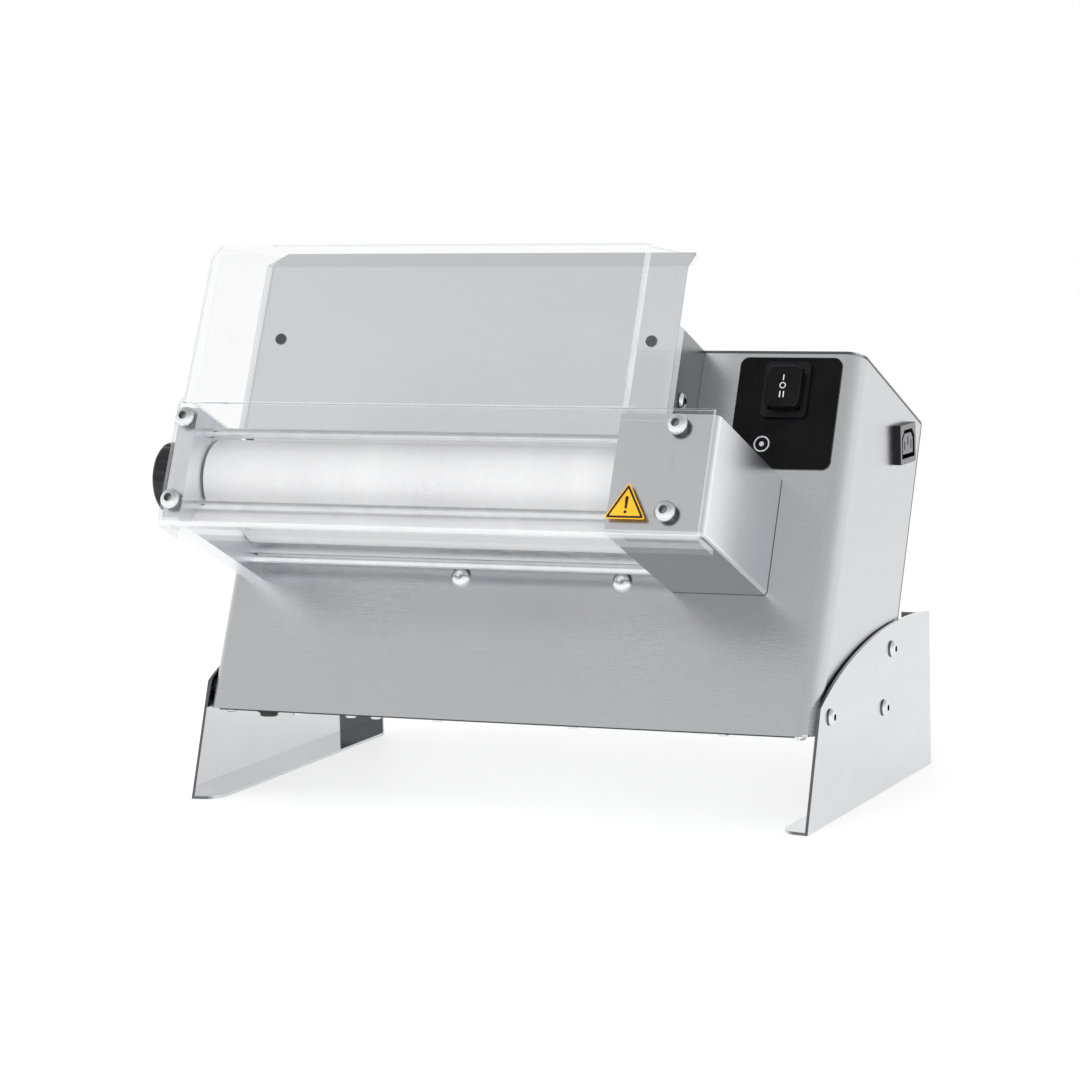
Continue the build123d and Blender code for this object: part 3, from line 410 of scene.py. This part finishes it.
def roller_material():
    m = Mat("roller_white", IOR=1.49, Subsurface_Weight=0.12, Subsurface_Scale=0.004)
    m.p.inputs["Subsurface Radius"].default_value = (1.0, 0.95, 0.9)
    ring = m.noise(m.flat((2600, 4, 4)), 1.0, 2.0, 0.5)
    band = m.noise(m.flat((38, 2, 2)), 1.0, 2.0, 0.5)
    flour = m.noise(m.flat((1, 1, 1)), 420.0, 4.0, 0.65)
    tone = m.math("ADD", m.math("MULTIPLY", band, 0.6), m.math("MULTIPLY", flour, 0.4))
    m.set("Base Color", m.ramp(tone, (0.35, (0.80, 0.80, 0.805)), (0.65, (0.88, 0.88, 0.88))))
    m.set("Roughness", m.remap(tone, 0.35, 0.65, 0.26, 0.40))
    m.bump(ring, 0.07, 0.00005)
    return m.m


ROLLER = roller_material()


def clear_material(name, normal_axis, edge_alpha=0.62, mirror=0.70, haze_hi=0.016):
    """Clear acrylic sheet. Its faces mirror a little, more at a slant, and its sawn edges are frosted.
    normal_axis lists directions square to the sheet's faces."""
    m = Mat(name, IOR=1.49)
    geo = m.node("ShaderNodeNewGeometry")
    face = None
    for axis in normal_axis:
        dot = m.node("ShaderNodeVectorMath", operation="DOT_PRODUCT")
        m.link(geo.outputs["True Normal"], dot.inputs[0])
        dot.inputs[1].default_value = tuple(axis)
        a = m.math("ABSOLUTE", dot.outputs["Value"], 0.0)
        face = a if face is None else m.math("MAXIMUM", face, a)
    is_face = m.remap(face, 0.80, 0.97, 0.0, 1.0)
    fres = m.node("ShaderNodeFresnel")
    fres.inputs["IOR"].default_value = 1.49
    haze = m.noise(m.flat((1, 1, 1)), 14.0, 3.0, 0.55)
    face_alpha = m.math("ADD", m.math("MULTIPLY", fres.outputs[0], mirror), m.remap(haze, 0.3, 0.7, 0.003, haze_hi))
    edge = m.math("MULTIPLY", m.math("SUBTRACT", 1.0, is_face), edge_alpha)
    alpha = m.math("ADD", m.math("MULTIPLY", face_alpha, is_face), edge)
    m.set("Alpha", m.math("MINIMUM", alpha, 1.0))
    m.set("Metallic", is_face)
    m.set("Base Color", m.ramp(haze, (0.3, (0.90, 0.91, 0.92)), (0.7, (0.96, 0.965, 0.97))))
    m.set("Roughness", m.remap(m.noise(m.flat((1, 1, 1)), 55.0, 3.0, 0.6), 0.3, 0.7, 0.03, 0.09))
    m.set("Normal", m.plane_normal())
    return m.m


# ------------------------------------------------------------------ floor material
fm = Mat("floor_white")
fm.p.inputs["Roughness"].default_value = 0.6
fm.p.inputs["Emission Color"].default_value = (1, 1, 1, 1)
fm.p.inputs["Emission Strength"].default_value = 0.60
fn = fm.noise(fm.flat((1, 1, 1)), 5.0, 3.0, 0.5)
fm.set("Base Color", fm.ramp(fn, (0.3, (0.50, 0.50, 0.50)), (0.7, (0.53, 0.53, 0.53))))
floor.data.materials.append(fm.m)

GUARD = clear_material("guard_clear", [EW, EU], 0.40, 0.55, 0.012)
WING = clear_material("wing_clear", [EX], 0.45, 0.05, 0.006)

# ------------------------------------------------------------------ materials on the CAD nodes
ASSIGN = {
    "front_shell": STEEL, "rear_cover": STEEL_TOP, "bottom_plate": STEEL, "gear_cover": STEEL_COVER,
    "hopper_plate": STEEL_HOPPER, "hopper_brackets": STEEL_HOPPER,
    "right_leg": LEG, "left_leg": LEG, "leg_spacers": ROD,
    "upper_tie_rod": ROD, "lower_tie_rod": ROD, "rear_tie_rod": ROD,
    "left_frame": ALU, "right_frame": ALU, "gearbox": ALU_CAST, "motor_bracket": ALU_CAST,
    "front_roller": ROLLER, "rear_roller": ROLLER, "front_scraper": ROLLER, "rear_scraper": SCRAPER,
    "rear_roller_shaft": MACHINED, "eccentric_shaft": MACHINED, "drive_shaft": MACHINED,
    "front_gear": MACHINED, "rear_gear": MACHINED, "drive_gear": MACHINED, "rear_bearings": MACHINED,
    "rocker_pin": MACHINED, "capacitor_clip": MACHINED,
    "roller_bushes": BRONZE, "frame_bushes": BRONZE, "outlet_contacts": BRONZE,
    "thickness_knob": KNOB, "control_panel": PANEL, "switch_body": BLACK, "switch_rocker": ROCKER,
    # front_seal is a dark nylon strip set under the front's bottom edge to show the dark line there: painted shade
    "outlet_body": OUTLET, "guard_screws": SCREW_W, "leg_screws": SCREW_X, "hopper_screws": SCREW_X, "hopper_plugs": NYLON, "front_seal": NYLON, "cable_gland": NYLON, "terminal_block": NYLON, "motor_fan_cowl": NYLON,
    "motor": PAINT, "run_capacitor": ALU_CAN,
    "guard_front": GUARD, "guard_upper": GUARD, "guard_right_wing": WING, "guard_left_wing": WING,
}
for name, obj in NODES.items():
    mat = ASSIGN.get(name, CHROME)
    obj.data.materials.clear()
    obj.data.materials.append(mat)
    if mat in (GUARD, WING):
        # a hair thinner all round, so that the clear sheet never shares a plane with what it rests on
        weld = obj.modifiers.new("weld", "WELD")
        weld.merge_threshold = 0.000002
        thin = obj.modifiers.new("thin", "DISPLACE")
        thin.direction, thin.mid_level, thin.strength = "NORMAL", 0.0, -0.00006

# ------------------------------------------------------------------ pieces made here


def make(name, bm, mats, body, smooth=False):
    me = bpy.data.meshes.new(name)
    bmesh.ops.recalc_face_normals(bm, faces=bm.faces)
    bm.to_mesh(me)
    bm.free()
    for f in me.polygons:
        f.use_smooth = smooth
    o = bpy.data.objects.new(name, me)
    scene.collection.objects.link(o)
    for m in (mats if isinstance(mats, (list, tuple)) else [mats]):
        o.data.materials.append(m)
    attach(o, body)
    return o


def prism(bm, pts, origin, ax, ay, az, h):
    """Extrudes a closed outline (list of 2-D points, mm) by h mm along az from origin."""
    lo = [bm.verts.new(origin + (ax * x + ay * y) / 1000) for x, y in pts]
    hi = [bm.verts.new(origin + (ax * x + ay * y + az * h) / 1000) for x, y in pts]
    n = len(pts)
    bm.faces.new(hi)
    bm.faces.new(list(reversed(lo)))
    for i in range(n):
        j = (i + 1) % n
        bm.faces.new((lo[i], lo[j], hi[j], hi[i]))


def ring(bm, r0, r1, origin, ax, ay, az, h, n=48, sx=1.0):
    """A flat ring between radii r0 and r1, mm."""
    loops = []
    for r, z in ((r0, 0), (r1, 0), (r1, h), (r0, h)):
        loops.append([bm.verts.new(origin + (ax * (r * sx * math.cos(2 * math.pi * k / n)) + ay * (r * math.sin(2 * math.pi * k / n)) + az * z) / 1000) for k in range(n)])
    for a in range(4):
        b = (a + 1) % 4
        for k in range(n):
            j = (k + 1) % n
            bm.faces.new((loops[a][k], loops[a][j], loops[b][j], loops[b][k]))


def rounded(w, h, r, seg=6):
    pts = []
    for cx, cy, a0 in ((w / 2 - r, h / 2 - r, 0), (-w / 2 + r, h / 2 - r, 90), (-w / 2 + r, -h / 2 + r, 180), (w / 2 - r, -h / 2 + r, 270)):
        for k in range(seg + 1):
            a = math.radians(a0 + 90 * k / seg)
            pts.append((cx + r * math.cos(a), cy + r * math.sin(a)))
    return pts


WHITE_INK = moulded("white_ink", (0.82, 0.82, 0.82), 0.35, 0.5, grain=2400, bump=0.05)
GREY_INK = moulded("grey_ink", (0.62, 0.62, 0.63), 0.35, 0.5, grain=2400, bump=0.05)
YELLOW = moulded("yellow_vinyl", (0.93, 0.475, 0.013), 0.28, 0.4, grain=2400, bump=0.04)
BLACK_INK = moulded("black_ink", (0.010, 0.009, 0.008), 0.35, 0.5, grain=2400, bump=0.04)

# switch marks: a bar, a ring and two bars, on the rocker's face
SX, SU, RW = 171.9, 236.0, -13.2
bm = bmesh.new()
O = P(SX, RW + 0.03, SU)
for cx, cy, h in ((0.0, 5.9, 4.0), (-1.3, -6.0, 4.4), (1.3, -6.0, 4.4)):
    prism(bm, [(cx + a, cy + b) for a, b in rounded(0.75, h, 0.3, 3)], O, EX, EU, -EW, 0.13)
ring(bm, 1.6, 2.2, O + EU * 0.0003, EX, EU, -EW, 0.13, 32)
make("rocker_marks", bm, WHITE_INK, "rocker")

# plain mark on the panel: a ring round a dot
bm = bmesh.new()
O = P(158.0, -1.2 + 0.03, 199.0)
ring(bm, 4.6, 5.6, O, EX, EU, -EW, 0.12, 48)
prism(bm, [(1.7 * math.cos(2 * math.pi * k / 32), 1.7 * math.sin(2 * math.pi * k / 32)) for k in range(32)], O, EX, EU, -EW, 0.12)
make("panel_mark", bm, GREY_INK, "chassis")

# triangular sign: yellow plate with a black border and a plain bar and dot
TRI = [(108.2, 102.8), (137.0, 102.8), (122.6, 127.4)]
W_SIGN = -131.5


def tri_inset(d, r=0.0, seg=4):
    """The sign's outline moved in by d, with its corners rounded by r."""
    pts = TRI
    n = 3
    lines = []
    for i in range(n):
        a, b = Vector(pts[i]), Vector(pts[(i + 1) % n])
        t = (b - a).normalized()
        nrm = Vector((-t.y, t.x))
        lines.append((a + nrm * d, t))
    out = []
    for i in range(n):
        (p1, t1), (p2, t2) = lines[i - 1], lines[i]
        den = t1.x * t2.y - t1.y * t2.x
        s = ((p2 - p1).x * t2.y - (p2 - p1).y * t2.x) / den
        c = p1 + t1 * s
        if r <= 0:
            out.append((c.x, c.y))
            continue
        half = math.acos(max(-1, min(1, (-t1).dot(t2)))) / 2
        L = r / math.tan(half)
        p_in, p_out = c - t1 * L, c + t2 * L
        cen = c + ((p_in + p_out) / 2 - c).normalized() * (r / math.sin(half))
        a0 = math.atan2(p_in.y - cen.y, p_in.x - cen.x)
        a1 = math.atan2(p_out.y - cen.y, p_out.x - cen.x)
        while a1 - a0 > math.pi:
            a1 -= 2 * math.pi
        while a1 - a0 < -math.pi:
            a1 += 2 * math.pi
        for k in range(seg + 1):
            a = a0 + (a1 - a0) * k / seg
            out.append((cen.x + r * math.cos(a), cen.y + r * math.sin(a)))
    return out


bm = bmesh.new()
O = P(0, W_SIGN, 0)
prism(bm, tri_inset(0.0, 1.1), O, EX, EU, -EW, 0.25)
sign = make("sign_face", bm, YELLOW, "chassis")
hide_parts("sign_plate")
bm = bmesh.new()
outer, inner = tri_inset(0.75, 0.8), tri_inset(2.15, 0.35)
lo_o = [bm.verts.new(P(x, W_SIGN - 0.24, u)) for x, u in outer]
lo_i = [bm.verts.new(P(x, W_SIGN - 0.24, u)) for x, u in inner]
hi_o = [bm.verts.new(P(x, W_SIGN - 0.33, u)) for x, u in outer]
hi_i = [bm.verts.new(P(x, W_SIGN - 0.33, u)) for x, u in inner]
n = len(outer)
for k in range(n):
    j = (k + 1) % n
    bm.faces.new((hi_o[k], hi_o[j], hi_i[j], hi_i[k]))
    bm.faces.new((lo_o[j], lo_o[k], lo_i[k], lo_i[j]))
    bm.faces.new((lo_o[k], lo_o[j], hi_o[j], hi_o[k]))
    bm.faces.new((lo_i[j], lo_i[k], hi_i[k], hi_i[j]))
O = P(122.6, W_SIGN - 0.24, 110.6)
prism(bm, [(-0.75, -0.9), (0.75, -0.9), (1.15, 6.3), (0.6, 7.4), (-0.6, 7.4), (-1.15, 6.3)], O, EX, EU, -EW, 0.09)
O2 = P(122.6, W_SIGN - 0.24, 107.5)
prism(bm, [(1.05 * math.cos(2 * math.pi * k / 24), 1.05 * math.sin(2 * math.pi * k / 24)) for k in range(24)], O2, EX, EU, -EW, 0.09)
make("sign_border", bm, BLACK_INK, "chassis")
